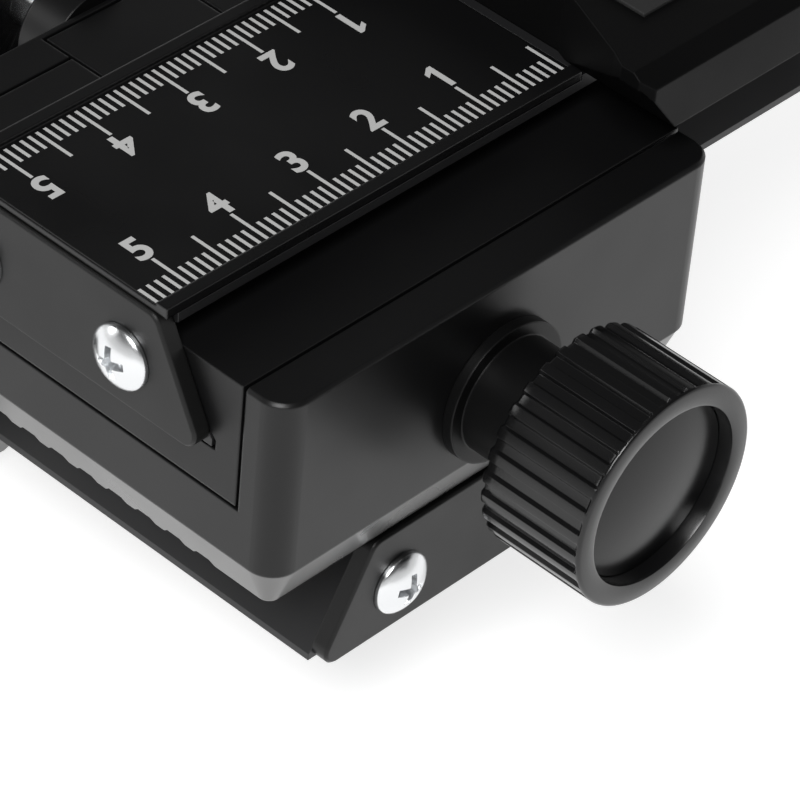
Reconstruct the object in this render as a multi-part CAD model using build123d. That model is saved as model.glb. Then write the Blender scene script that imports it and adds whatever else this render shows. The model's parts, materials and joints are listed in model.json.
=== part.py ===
from build123d import *
import os
from math import pi, sin, cos, tan, acos, asin, atan, radians, degrees

# Macro focusing rail with two crosswise rack-and-pinion stages, all lengths in millimetres.
# One stage is drawn in its own frame and used twice.
# Stage frame: the rail runs along Y with its free end at -Y, the drive knob is on +X and
# z = 0 is the printed face of the scale. Scale mark s centimetres lies at y = -10 s.

# Driving dimensions of one stage
TRAVEL = 53.0
CHANNEL_HALF_X = 20.0
LINER_WALL = 2.9
LINER_GAP = 0.4
HOUSING_WALL = 4.8
LINER_HALF_X = CHANNEL_HALF_X + LINER_WALL
HOUSING_HALF_X = LINER_HALF_X + LINER_GAP + HOUSING_WALL
HOUSING_Y0 = -53.0
HOUSING_Y1 = 5.8
HOUSING_TOP = -4.0
HOUSING_BOTTOM = -24.5
HOUSING_CORNER_R = 3.0
STAGE_PITCH = 29.1

# Ridged sole under the housing, with sloped sides
FOOT_STEP = 0.1
FOOT_INSET = 1.8
RIDGE_PITCH = 3.94
RIDGE_COUNT = 11
RIDGE_DEPTH = 0.55
GROOVE_MOUTH = 1.5
GROOVE_BED = 0.8

# Liner that forms the dovetail channel inside the housing
LINER_BOTTOM = -18.1
DOVETAIL_RUN = 7.6
JAW_HALF_X = CHANNEL_HALF_X - DOVETAIL_RUN
JAW_KNEE_Z = -4.9
CHANNEL_SHOULDER_Z = -12.2
CHANNEL_FLOOR = -13.3
GROOVE_HALF_X = 6.0
GROOVE_DEPTH = 0.6
LINER_SCREW_INSET = 7.5
LINER_SCREW_X = CHANNEL_HALF_X - LINER_SCREW_INSET
LINER_SCREW_Y = (HOUSING_Y0 + 7.0, HOUSING_Y1 - 7.8)
LINER_SCREW_R = 1.25
LINER_SCREW_HEAD_R = 2.7
LINER_SCREW_LENGTH = 8.5

# Dovetail rail
FLANGE_HALF_X = JAW_HALF_X + 2.15
FLANGE_Z = -1.7
NECK_HALF_X = JAW_HALF_X - 0.5
NECK_Z = -2.8
NECK_KNEE_Z = -4.8
FOOT_HALF_X = CHANNEL_HALF_X - 0.4
FOOT_Z = -12.2
RAIL_BOTTOM = -13.0
STOP_GAP = 0.1
PLATE_SEAT_Z = -0.6
PLATE_END_Y = 0.6

# Scale plate
PLATE_FRONT_Y = HOUSING_Y0 - 1.6
LIP_HEIGHT = 0.55
LIP_INNER_X = FLANGE_HALF_X - 1.4

# End caps
CAP_THICK = 1.9
CAP_TOP_HALF_X = JAW_HALF_X + 1.1
CAP_BOTTOM_HALF_X = CHANNEL_HALF_X + 0.3
CAP_BOTTOM = -13.1
CAP_CORNER_R = 1.6
CAP_SCREW_INSET = 2.7
CAP_SCREW_X = JAW_HALF_X - CAP_SCREW_INSET
CAP_SCREW_Z = -7.5
CAP_SCREW_R = 1.5
CAP_SCREW_HEAD_R = 3.4
CAP_SCREW_HEAD_H = 1.9

# Rack and pinion
MODULE = 0.5
PINION_TEETH = 20
PITCH_R = MODULE * PINION_TEETH / 2
PRESSURE = radians(20)
BACKLASH = 0.12
ADDENDUM = MODULE
DEDENDUM = 1.3 * MODULE
AXIS_Z = -16.9
AXIS_Y = (HOUSING_Y0 + HOUSING_Y1) / 2
PINION_HALF_X = 3.2
RACK_HALF_X = 3.4
RACK_TOP = -8.4
RACK_MARGIN = 9.0

# Drive shaft and knob
SHAFT_R = 2.5
SHAFT_LEFT = -(HOUSING_HALF_X - 2.3)
RUNNING_GAP = 0.05
BUSH_R = 6.2
BUSH_FLANGE_R = 7.6
BUSH_FLANGE_T = 1.2
BUSH_SPIGOT_R = 4.0
BUSH_END = HOUSING_HALF_X + 8.1
KNOB_BACK = BUSH_END + 0.4
KNOB_LENGTH = 12.4
KNOB_FRONT = KNOB_BACK + KNOB_LENGTH
SHAFT_RIGHT = KNOB_BACK + 8.4
KNOB_R = 11.7
KNOB_RECESS_R = 9.4
KNOB_RECESS = 1.5
INLAY_THICK = 1.6
KNOB_FLUTES = 38
FLUTE_R = 0.55

# Clamp on the side away from the knob
SHOE_Y0 = AXIS_Y - 6.7
SHOE_Y1 = AXIS_Y + 9.1
SHOE_OUTER_X = -(HOUSING_HALF_X - 1.3)
SHOE_BOTTOM = -13.1
SHOE_GAP = 0.4
LOCK_Y = (SHOE_Y0 + SHOE_Y1) / 2
LOCK_Z = -9.0
LOCK_SCREW_R = 2.5
LOCK_BUSH_END = -(HOUSING_HALF_X + 4.9)
LOCK_KNOB_BACK = LOCK_BUSH_END - 4.6
LOCK_KNOB_LENGTH = 10.0
LOCK_SCREW_END = LOCK_KNOB_BACK - 7.4
LOCK_KNOB_R = 8.5
LOCK_FLUTES = 26

# Through screws in the rail, and the camera platform
FIX_INSET = 2.9
FIX_X = NECK_HALF_X - FIX_INSET
FIX_Y = (HOUSING_Y1 + 6.2, HOUSING_Y1 + TRAVEL - 8.3)
FIX_SEAT_Z = -6.5
FIX_R = 1.5
FIX_HEAD_R = 2.8
FIX_HEAD_H = 2.0
JOINT_HOLE_TOP = -19.8
PLATFORM_HALF_X = 25.9
PLATFORM_Y0 = -3.5
PLATFORM_Y1 = HOUSING_Y1 + TRAVEL - 0.2
PLATFORM_TOP = 7.5
PLATFORM_HOLE_TOP = 5.7
PAD_HALF_X = 18.5
PAD_Y0 = 4.0
PAD_Y1 = 55.0
PAD_THICK = 1.0
PAD_PROUD = 0.3
WHEEL_Y = 29.5
WHEEL_R = 17.4
WHEEL_Z0 = 0.3
WHEEL_Z1 = 3.9
STUD_R = 3.175
STUD_NECK_R = 2.9
STUD_TOP = 12.9

# Threaded insert for the tripod screw
INSERT_R = 6.2
INSERT_TOP = HOUSING_BOTTOM + 0.6
INSERT_SKIN = 0.5

# Where the two stages stand. The part's origin is the tripod socket under the lower housing.
LOWER_SHIFT_X = -34.3
ORIGIN = (57.9, 23.6, 2 * STAGE_PITCH)

TOP_UP = (Align.CENTER, Align.CENTER, Align.MIN)


# Plain shape helpers

def block(x0, x1, y0, y1, z0, z1):
    centre = Pos((x0 + x1) / 2, (y0 + y1) / 2, (z0 + z1) / 2)
    return centre * Box(x1 - x0, y1 - y0, z1 - z0)


def rod_x(radius, x0, x1, y, z):
    return Pos(x0, y, z) * Rot(0, 90, 0) * Cylinder(radius, x1 - x0, align=TOP_UP)


def rod_y(radius, y0, y1, x, z):
    return Pos(x, y0, z) * Rot(-90, 0, 0) * Cylinder(radius, y1 - y0, align=TOP_UP)


def rod_z(radius, z0, z1, x, y):
    return Pos(x, y, z0) * Cylinder(radius, z1 - z0, align=TOP_UP)


def prism_y(points, y0, y1):
    face = make_face(Polyline(*[(x, y0, z) for x, z in points], close=True))
    return extrude(face, amount=y1 - y0, dir=(0, 1, 0))


def prism_x(points, x0, x1):
    face = make_face(Polyline(*[(x0, y, z) for y, z in points], close=True))
    return extrude(face, amount=x1 - x0, dir=(1, 0, 0))


def prism_z(points, z0, z1):
    face = make_face(Polyline(*[(x, y, z0) for x, y in points], close=True))
    return extrude(face, amount=z1 - z0, dir=(0, 0, 1))


def both_sides(points):
    return points + [(-x, z) for x, z in reversed(points)]


def edges_at(shape, axis, value, tolerance=0.01):
    return shape.edges().filter_by_position(axis, value - tolerance, value + tolerance)


# Disc on the Z axis from base to edge, with a spherical cap of height rise on top

def domed_disc(radius, base, edge, rise):
    ball_r = (radius ** 2 + rise ** 2) / (2 * rise)
    middle = asin(radius / ball_r) / 2
    centre = edge + rise - ball_r
    low = Polyline((0, 0, base), (radius, 0, base), (radius, 0, edge))
    arc = ThreePointArc((radius, 0, edge), (ball_r * sin(middle), 0, centre + ball_r * cos(middle)),
                        (0, 0, edge + rise))
    close = Line((0, 0, edge + rise), (0, 0, base))
    return revolve(make_face([*low.edges(), arc, close]), Axis.Z)


# Screws stand on z = 0 with the head above and the shank below

def pan_screw(head_r, head_h, shank_r, length):
    head = domed_disc(head_r, 0, 0.3 * head_h, 0.7 * head_h)
    shank = rod_z(shank_r, -length, 0, 0, 0)
    arm = 0.58 * head_r
    depth = 0.62 * head_h
    slot_w = 0.28 * head_r
    cross = block(-arm, arm, -slot_w / 2, slot_w / 2, head_h - depth, head_h)
    cross += block(-slot_w / 2, slot_w / 2, -arm, arm, head_h - depth, head_h)
    return head + shank - cross


def flat_screw(head_r, shank_r, length):
    cone_h = head_r - shank_r
    cone = Pos(0, 0, -cone_h) * Cone(shank_r, head_r, cone_h, align=TOP_UP)
    screw = cone + rod_z(shank_r, -length, -cone_h, 0, 0)
    arm = 0.6 * head_r
    slot_w = 0.3 * head_r
    cross = block(-arm, arm, -slot_w / 2, slot_w / 2, -0.9, 0)
    cross += block(-slot_w / 2, slot_w / 2, -arm, arm, -0.9, 0)
    return screw - cross


# Fluted barrel along Z from 0 to length, with small chamfers at both ends

def fluted_barrel(radius, length, flutes, chamfer_size):
    outline = Circle(radius)
    notch = Pos(radius + 0.15, 0) * Circle(FLUTE_R)
    for i in range(flutes):
        outline -= Rot(0, 0, 360 * i / flutes) * notch
    barrel = extrude(outline, amount=length, dir=(0, 0, 1))
    envelope = Cylinder(radius, length, align=TOP_UP)
    envelope = chamfer(envelope.edges().filter_by(GeomType.CIRCLE), chamfer_size)
    return barrel & envelope


# Housing

def clamp_pocket():
    return block(SHOE_OUTER_X - SHOE_GAP, 0, SHOE_Y0 - SHOE_GAP, SHOE_Y1 + SHOE_GAP,
                 CHANNEL_FLOOR, HOUSING_TOP + 1)


def make_tray(screw_points):
    length = HOUSING_Y1 - HOUSING_Y0
    height = HOUSING_TOP - HOUSING_BOTTOM
    outline = Pos(0, AXIS_Y) * RectangleRounded(2 * HOUSING_HALF_X, length, HOUSING_CORNER_R)
    tray = Pos(0, 0, HOUSING_BOTTOM) * extrude(outline, amount=height)
    tray = chamfer(edges_at(tray, Axis.Z, HOUSING_TOP), 0.35)
    inner_x = LINER_HALF_X + LINER_GAP
    floor_z = LINER_BOTTOM - LINER_GAP
    tray -= block(-inner_x, inner_x, HOUSING_Y0 - 1, HOUSING_Y1 + 1, floor_z, HOUSING_TOP + 1)
    well = PITCH_R + ADDENDUM + 0.6
    tray -= block(-4.0, 4.0, AXIS_Y - well - 1, AXIS_Y + well + 1, AXIS_Z - well, floor_z + 1)
    trough = SHAFT_R + 0.2
    tray -= block(-inner_x, inner_x, AXIS_Y - trough, AXIS_Y + trough, AXIS_Z - trough, floor_z + 1)
    tray -= rod_x(BUSH_SPIGOT_R + RUNNING_GAP, inner_x - 1, HOUSING_HALF_X + 1, AXIS_Y, AXIS_Z)
    tray -= rod_x(SHAFT_R + RUNNING_GAP, SHAFT_LEFT - 0.2, -inner_x + 1, AXIS_Y, AXIS_Z)
    tray -= clamp_pocket()
    tray -= rod_x(BUSH_SPIGOT_R + RUNNING_GAP, -HOUSING_HALF_X - 1, SHOE_OUTER_X, LOCK_Y, LOCK_Z)
    for x, y, radius, top_z in screw_points:
        tray -= rod_z(radius, HOUSING_BOTTOM - 1, top_z, x, y)
    hole_end = CHANNEL_FLOOR - LINER_SCREW_LENGTH - 0.4
    for x, y in LINER_SCREWS:
        tray -= rod_z(LINER_SCREW_R + 0.05, hole_end, floor_z + 1, x, y)
    return tray


LINER_SCREWS = [(side * LINER_SCREW_X, y) for side in (-1, 1) for y in LINER_SCREW_Y]


def make_liner():
    outer = [(LINER_HALF_X, HOUSING_TOP), (LINER_HALF_X, LINER_BOTTOM)]
    inner = [(CHANNEL_HALF_X, CHANNEL_FLOOR), (CHANNEL_HALF_X, CHANNEL_SHOULDER_Z),
             (JAW_HALF_X, JAW_KNEE_Z), (JAW_HALF_X, HOUSING_TOP)]
    outline = [(-x, z) for x, z in reversed(inner)] + inner + outer
    outline += [(-x, z) for x, z in reversed(outer)]
    liner = prism_y(outline, HOUSING_Y0, HOUSING_Y1)
    liner -= block(-GROOVE_HALF_X, GROOVE_HALF_X, HOUSING_Y0 - 1, HOUSING_Y1 + 1,
                   CHANNEL_FLOOR - GROOVE_DEPTH, CHANNEL_FLOOR + 1)
    window = PITCH_R + ADDENDUM + 1.0
    liner -= block(-4.0, 4.0, AXIS_Y - window, AXIS_Y + window, LINER_BOTTOM - 1, CHANNEL_FLOOR + 1)
    notch = SHAFT_R + 0.2
    liner -= block(-LINER_HALF_X - 1, LINER_HALF_X + 1, AXIS_Y - notch, AXIS_Y + notch,
                   LINER_BOTTOM - 1, AXIS_Z + notch)
    liner -= clamp_pocket()
    for x, y in LINER_SCREWS:
        liner -= rod_z(LINER_SCREW_R + 0.1, LINER_BOTTOM - 1, CHANNEL_FLOOR + 1, x, y)
        sink = Cone(LINER_SCREW_R + 0.1, LINER_SCREW_HEAD_R + 0.15, 1.5, align=TOP_UP)
        liner -= Pos(x, y, CHANNEL_FLOOR - 1.5) * sink
    return liner


def make_liner_screws():
    screws = []
    for x, y in LINER_SCREWS:
        screw = flat_screw(LINER_SCREW_HEAD_R, LINER_SCREW_R, LINER_SCREW_LENGTH)
        screws.append(Pos(x, y, CHANNEL_FLOOR - 0.1) * screw)
    return Compound(children=screws)


def make_foot_pad(holes):
    top = HOUSING_BOTTOM - 0.02
    height = top + STAGE_PITCH
    wide = 2 * (HOUSING_HALF_X - FOOT_STEP)
    long = HOUSING_Y1 - HOUSING_Y0 - 2 * FOOT_STEP
    slope = degrees(atan(FOOT_INSET / height))
    outline = RectangleRounded(wide, long, HOUSING_CORNER_R)
    pad = Pos(0, AXIS_Y, top) * extrude(outline, amount=height, dir=(0, 0, -1), taper=slope)
    tip = -STAGE_PITCH
    for i in range(RIDGE_COUNT - 1):
        x = (i - (RIDGE_COUNT - 2) / 2) * RIDGE_PITCH
        groove = [(x - GROOVE_MOUTH, tip - 0.1), (x - GROOVE_BED, tip + RIDGE_DEPTH),
                  (x + GROOVE_BED, tip + RIDGE_DEPTH), (x + GROOVE_MOUTH, tip - 0.1)]
        pad -= prism_y(groove, HOUSING_Y0 - 1, HOUSING_Y1 + 1)
    for x, y, radius in holes:
        pad -= rod_z(radius, tip - 1, top + 1, x, y)
    return pad


# Rail, scale plate and end caps

def rail_y0():
    return HOUSING_Y0 - STOP_GAP


def rail_y1():
    return HOUSING_Y1 + TRAVEL + STOP_GAP


def make_rail():
    half = [(FLANGE_HALF_X, 0), (FLANGE_HALF_X, FLANGE_Z), (NECK_HALF_X, NECK_Z),
            (NECK_HALF_X, NECK_KNEE_Z), (FOOT_HALF_X, FOOT_Z), (FOOT_HALF_X, RAIL_BOTTOM)]
    rail = prism_y(both_sides(half), rail_y0(), rail_y1())
    rail -= block(-FOOT_HALF_X, FOOT_HALF_X, rail_y0() - 1, PLATE_END_Y + 0.1, PLATE_SEAT_Z, 1)
    slot_x = RACK_HALF_X + 0.1
    y0, y1 = rack_span()
    rail -= block(-slot_x, slot_x, y0 - 0.3, y1 + 0.3, RAIL_BOTTOM - 1, RACK_TOP + 0.1)
    for y in FIX_Y:
        for x in (-FIX_X, FIX_X):
            rail -= rod_z(FIX_R + 0.1, RAIL_BOTTOM - 1, 1, x, y)
            rail -= rod_z(FIX_HEAD_R + 0.3, RAIL_BOTTOM - 1, FIX_SEAT_Z, x, y)
    for x in (-CAP_SCREW_X, CAP_SCREW_X):
        rail -= rod_y(CAP_SCREW_R + 0.05, rail_y0() - 1, rail_y0() + 8.5, x, CAP_SCREW_Z)
        rail -= rod_y(CAP_SCREW_R + 0.05, rail_y1() - 4.0, rail_y1() + 1, x, CAP_SCREW_Z)
    return rail


def make_scale_plate():
    top_edge = [(LIP_INNER_X, 0), (LIP_INNER_X, LIP_HEIGHT), (FLANGE_HALF_X, LIP_HEIGHT)]
    low_edge = [(FLANGE_HALF_X, PLATE_SEAT_Z + 0.02)]
    half = top_edge + low_edge
    outline = half + [(-x, z) for x, z in reversed(half)]
    plate = prism_y(outline, PLATE_FRONT_Y, PLATE_END_Y)
    plate += block(-LIP_INNER_X, LIP_INNER_X, PLATE_FRONT_Y, PLATE_FRONT_Y + 0.25, -0.1, 0.12)
    return plate


def make_cap(inner_y, outward):
    outer_y = inner_y + outward * CAP_THICK
    y0, y1 = min(inner_y, outer_y), max(inner_y, outer_y)
    top = PLATE_SEAT_Z - 0.02
    half = [(CAP_TOP_HALF_X, top), (CAP_BOTTOM_HALF_X, CAP_BOTTOM)]
    cap = prism_y(both_sides(half), y0, y1)
    upright = cap.edges().filter_by(Axis.Y)
    cap = fillet(upright, CAP_CORNER_R)
    for x in (-CAP_SCREW_X, CAP_SCREW_X):
        cap -= rod_y(CAP_SCREW_R + 0.1, y0 - 1, y1 + 1, x, CAP_SCREW_Z)
    rim = edges_at(cap, Axis.Y, outer_y)
    return chamfer(rim, 0.25)


def make_cap_screws(inner_y, outward, length):
    screws = []
    face_y = inner_y + outward * (CAP_THICK + 0.02)
    turn = 90 if outward < 0 else -90
    for x, twist in ((-CAP_SCREW_X, 20), (CAP_SCREW_X, -12)):
        screw = pan_screw(CAP_SCREW_HEAD_R, CAP_SCREW_HEAD_H, CAP_SCREW_R, length)
        screws.append(Pos(x, face_y, CAP_SCREW_Z) * Rot(turn, 0, 0) * Rot(0, 0, twist) * screw)
    return Compound(children=screws)


# Rack and pinion

def rack_span():
    return AXIS_Y - RACK_MARGIN, AXIS_Y + TRAVEL + RACK_MARGIN


def make_rack():
    y0, y1 = rack_span()
    pitch = pi * MODULE
    line_z = AXIS_Z + PITCH_R
    tip_z = line_z - ADDENDUM
    root_z = line_z + DEDENDUM
    half_pitch = (pitch / 2 - BACKLASH) / 2
    tip_half = half_pitch - ADDENDUM * tan(PRESSURE)
    root_half = half_pitch + DEDENDUM * tan(PRESSURE)
    first = -int((AXIS_Y - y0 - root_half) / pitch)
    last = int((y1 - AXIS_Y - root_half) / pitch)
    points = [(y0, RACK_TOP), (y0, root_z)]
    for i in range(first, last + 1):
        y = AXIS_Y + i * pitch
        points += [(y - root_half, root_z), (y - tip_half, tip_z)]
        points += [(y + tip_half, tip_z), (y + root_half, root_z)]
    points += [(y1, root_z), (y1, RACK_TOP)]
    return prism_x(points, -RACK_HALF_X, RACK_HALF_X)


def involute(angle):
    return tan(angle) - angle


def make_pinion():
    base_r = PITCH_R * cos(PRESSURE)
    tip_r = PITCH_R + ADDENDUM
    root_r = PITCH_R - DEDENDUM
    tooth = (pi * MODULE / 2 - BACKLASH) / (2 * PITCH_R)
    flank = []
    for i in range(5):
        r = base_r + (tip_r - base_r) * i / 4
        flank.append((r, tooth + involute(PRESSURE) - involute(acos(base_r / r))))
    flank.insert(0, (root_r, flank[0][1]))
    points = []
    step = 2 * pi / PINION_TEETH
    for i in range(PINION_TEETH):
        middle = pi / 2 + (i + 0.5) * step
        for r, half in flank:
            points.append((AXIS_Y + r * cos(middle - half), AXIS_Z + r * sin(middle - half)))
        for r, half in reversed(flank):
            points.append((AXIS_Y + r * cos(middle + half), AXIS_Z + r * sin(middle + half)))
    pinion = prism_x(points, -PINION_HALF_X, PINION_HALF_X)
    return pinion - rod_x(SHAFT_R + 0.02, -5, 5, AXIS_Y, AXIS_Z)


# Drive shaft, bush and knob

def make_shaft():
    shaft = rod_x(SHAFT_R, SHAFT_LEFT, SHAFT_RIGHT, AXIS_Y, AXIS_Z)
    shaft = chamfer(shaft.edges().filter_by(GeomType.CIRCLE), 0.3)
    groove = rod_x(SHAFT_R + 1, BUSH_END + 0.05, BUSH_END + 0.35, AXIS_Y, AXIS_Z)
    groove -= rod_x(2.1, BUSH_END, BUSH_END + 1, AXIS_Y, AXIS_Z)
    shaft -= groove
    return shaft - rod_x(1.3, SHAFT_RIGHT - 7, SHAFT_RIGHT + 1, AXIS_Y, AXIS_Z)


def make_retaining_ring():
    ring = rod_x(3.6, BUSH_END + 0.08, BUSH_END + 0.32, AXIS_Y, AXIS_Z)
    ring -= rod_x(2.15, BUSH_END, BUSH_END + 1, AXIS_Y, AXIS_Z)
    return ring - block(BUSH_END, BUSH_END + 1, AXIS_Y - 1.2, AXIS_Y + 1.2, AXIS_Z - 5, AXIS_Z)


def make_bush():
    bush = rod_x(BUSH_R, HOUSING_HALF_X + 0.02, BUSH_END, AXIS_Y, AXIS_Z)
    bush += rod_x(BUSH_FLANGE_R, HOUSING_HALF_X + 0.02, HOUSING_HALF_X + BUSH_FLANGE_T, AXIS_Y, AXIS_Z)
    bush += rod_x(BUSH_SPIGOT_R, LINER_HALF_X + LINER_GAP, HOUSING_HALF_X + 1, AXIS_Y, AXIS_Z)
    bush = chamfer(edges_at(bush, Axis.X, BUSH_END), 0.4)
    return bush - rod_x(SHAFT_R + RUNNING_GAP, LINER_HALF_X - 1, BUSH_END + 1, AXIS_Y, AXIS_Z)


def make_knob():
    barrel = fluted_barrel(KNOB_R, KNOB_LENGTH, KNOB_FLUTES, 0.45)
    floor = KNOB_LENGTH - KNOB_RECESS - INLAY_THICK
    barrel -= Pos(0, 0, floor) * Cylinder(KNOB_RECESS_R, 5, align=TOP_UP)
    barrel -= Cylinder(7.2, 1.4, align=TOP_UP)
    barrel -= Cylinder(SHAFT_R + 0.02, SHAFT_RIGHT - KNOB_BACK + 0.05, align=TOP_UP)
    barrel -= Cylinder(1.6, KNOB_LENGTH + 1, align=TOP_UP)
    return Pos(KNOB_BACK, AXIS_Y, AXIS_Z) * Rot(0, 90, 0) * barrel


def make_knob_screw():
    seat = KNOB_FRONT - KNOB_RECESS - INLAY_THICK
    screw = pan_screw(2.6, 1.2, 1.2, 7.0)
    return Pos(seat + 0.02, AXIS_Y, AXIS_Z) * Rot(0, 90, 0) * screw


def make_knob_inlay():
    r = KNOB_RECESS_R - 0.02
    back = KNOB_FRONT - KNOB_RECESS - INLAY_THICK
    inlay = domed_disc(r, back + 0.02, KNOB_FRONT - KNOB_RECESS - 0.1, 0.45)
    inlay -= Pos(0, 0, back) * Cylinder(3.0, 1.4, align=TOP_UP)
    return Pos(0, AXIS_Y, AXIS_Z) * Rot(0, 90, 0) * inlay


# Clamp shoe with its screw, bush and knob

def make_shoe():
    outline = [(SHOE_OUTER_X, HOUSING_TOP), (-JAW_HALF_X, HOUSING_TOP), (-JAW_HALF_X, JAW_KNEE_Z),
               (-CHANNEL_HALF_X, CHANNEL_SHOULDER_Z), (-CHANNEL_HALF_X, SHOE_BOTTOM),
               (SHOE_OUTER_X, SHOE_BOTTOM)]
    return prism_y(outline, SHOE_Y0, SHOE_Y1)


def make_lock_screw():
    screw = rod_x(LOCK_SCREW_R, LOCK_SCREW_END, SHOE_OUTER_X - 0.02, LOCK_Y, LOCK_Z)
    return chamfer(screw.edges().filter_by(GeomType.CIRCLE), 0.4)


def make_lock_bush():
    bush = rod_x(BUSH_R, LOCK_BUSH_END, -HOUSING_HALF_X - 0.02, LOCK_Y, LOCK_Z)
    bush = chamfer(edges_at(bush, Axis.X, LOCK_BUSH_END), 0.4)
    bush += rod_x(BUSH_SPIGOT_R, -HOUSING_HALF_X - 1, SHOE_OUTER_X - SHOE_GAP - 0.1, LOCK_Y, LOCK_Z)
    return bush - rod_x(LOCK_SCREW_R + RUNNING_GAP, LOCK_BUSH_END - 1, SHOE_OUTER_X + 1, LOCK_Y, LOCK_Z)


def make_lock_knob():
    barrel = fluted_barrel(LOCK_KNOB_R, LOCK_KNOB_LENGTH, LOCK_FLUTES, 0.45)
    barrel -= Cylinder(LOCK_SCREW_R + 0.02, LOCK_KNOB_BACK - LOCK_SCREW_END + 0.05, align=TOP_UP)
    barrel -= Pos(0, 0, LOCK_KNOB_LENGTH - 1.0) * Cylinder(6.6, 2, align=TOP_UP)
    return Pos(LOCK_KNOB_BACK, LOCK_Y, LOCK_Z) * Rot(0, -90, 0) * barrel


# Fixing screws that enter the rail from below

def make_fix_screws(length):
    screws = []
    for y in FIX_Y:
        for x in (-FIX_X, FIX_X):
            screw = Rot(180, 0, 0) * pan_screw(FIX_HEAD_R, FIX_HEAD_H, FIX_R, length)
            screws.append(Pos(x, y, FIX_SEAT_Z - 0.02) * screw)
    return Compound(children=screws)


# Camera platform

def make_platform():
    outline = [(10.4, 1.8), (20.4, -2.4), (22.4, PLATFORM_Y0), (PLATFORM_HALF_X - 1.2, PLATFORM_Y0),
               (PLATFORM_HALF_X, PLATFORM_Y0 + 1.2), (PLATFORM_HALF_X, PLATFORM_Y1 - 3.0),
               (PLATFORM_HALF_X - 3.0, PLATFORM_Y1)]
    body = prism_z(both_sides(outline), 0.02, PLATFORM_TOP)
    front = PLATFORM_Y0 - 5
    side = PLATFORM_HALF_X + 4
    undercut = [(front, -1), (1.2, -1), (1.2, 0.02), (PLATFORM_Y0 + 0.2, 5.8), (front, 5.8)]
    body -= prism_x(undercut, -side, side)
    bevel = [(PLATFORM_HALF_X + 1, 5.25), (PLATFORM_HALF_X - 3, 8.25), (PLATFORM_HALF_X + 1, 8.25)]
    body -= prism_y(bevel, front, PLATFORM_Y1 + 5)
    body -= prism_y([(-x, z) for x, z in bevel], front, PLATFORM_Y1 + 5)
    body -= rod_z(WHEEL_R + 0.5, -1, WHEEL_Z1 + 0.4, 0, WHEEL_Y)
    for x0, x1 in ((-side, -12.0), (12.0, side)):
        body -= block(x0, x1, WHEEL_Y - 8.0, WHEEL_Y + 8.0, -1, WHEEL_Z1 + 0.4)
    body -= rod_z(STUD_R + 0.2, -1, 20, 0, WHEEL_Y)
    recess = PLATFORM_TOP + PAD_PROUD - PAD_THICK
    body -= block(-PAD_HALF_X - 0.1, PAD_HALF_X + 0.1, PAD_Y0 - 0.1, PAD_Y1 + 0.1, recess, 20)
    for y in FIX_Y:
        for x in (-FIX_X, FIX_X):
            body -= rod_z(FIX_R + 0.05, -1, PLATFORM_HOLE_TOP, x, y)
    return body


def make_pad():
    base = PLATFORM_TOP + PAD_PROUD - PAD_THICK + 0.02
    top = PLATFORM_TOP + PAD_PROUD
    pad = block(-PAD_HALF_X, PAD_HALF_X, PAD_Y0, PAD_Y1, base, top)
    return pad - rod_z(STUD_R + 0.6, 0, 20, 0, WHEEL_Y)


def make_camera_wheel():
    wheel = Pos(0, WHEEL_Y, WHEEL_Z0) * fluted_barrel(WHEEL_R, WHEEL_Z1 - WHEEL_Z0, 60, 0.4)
    return wheel - rod_z(STUD_NECK_R + 0.02, -1, 20, 0, WHEEL_Y)


def make_camera_stud():
    shoulder = PLATFORM_TOP + PAD_PROUD + 0.1
    stud = rod_z(STUD_R, shoulder, STUD_TOP, 0, WHEEL_Y)
    stud = chamfer(edges_at(stud, Axis.Z, STUD_TOP), 0.6)
    return stud + rod_z(STUD_NECK_R, WHEEL_Z0, shoulder, 0, WHEEL_Y)


def make_tripod_insert():
    insert = rod_z(INSERT_R, -STAGE_PITCH, INSERT_TOP, 0, AXIS_Y)
    return insert - rod_z(STUD_R, -STAGE_PITCH - 1, INSERT_TOP - INSERT_SKIN, 0, AXIS_Y)


# One whole stage

def make_stage(tray_holes, pad_holes):
    near, far = rail_y0(), rail_y1()
    return {
        "tray": make_tray(tray_holes),
        "liner": make_liner(),
        "liner_screws": make_liner_screws(),
        "foot_pad": make_foot_pad(pad_holes),
        "rail": make_rail(),
        "scale_plate": make_scale_plate(),
        "cap_front": make_cap(near, -1),
        "cap_back": make_cap(far, 1),
        "cap_screws_front": make_cap_screws(near, -1, 9.5),
        "cap_screws_back": make_cap_screws(far, 1, 5.5),
        "rack": make_rack(),
        "pinion": make_pinion(),
        "shaft": make_shaft(),
        "shaft_ring": make_retaining_ring(),
        "shaft_bush": make_bush(),
        "knob": make_knob(),
        "knob_screw": make_knob_screw(),
        "knob_inlay": make_knob_inlay(),
        "clamp_shoe": make_shoe(),
        "lock_screw": make_lock_screw(),
        "lock_bush": make_lock_bush(),
        "lock_knob": make_lock_knob(),
    }


def upper_place():
    return Pos(*ORIGIN)


def lower_place():
    return Pos(*ORIGIN) * Pos(LOWER_SHIFT_X, AXIS_Y, -STAGE_PITCH) * Rot(0, 0, -90)


def joint_holes():
    spots = []
    for y in FIX_Y:
        for x in (-FIX_X, FIX_X):
            spots.append((y + LOWER_SHIFT_X, AXIS_Y - x))
    return spots


def save(name, shape, place):
    moved = place * shape
    moved.label = name
    export_step(moved, "parts/" + name + ".step")


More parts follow.
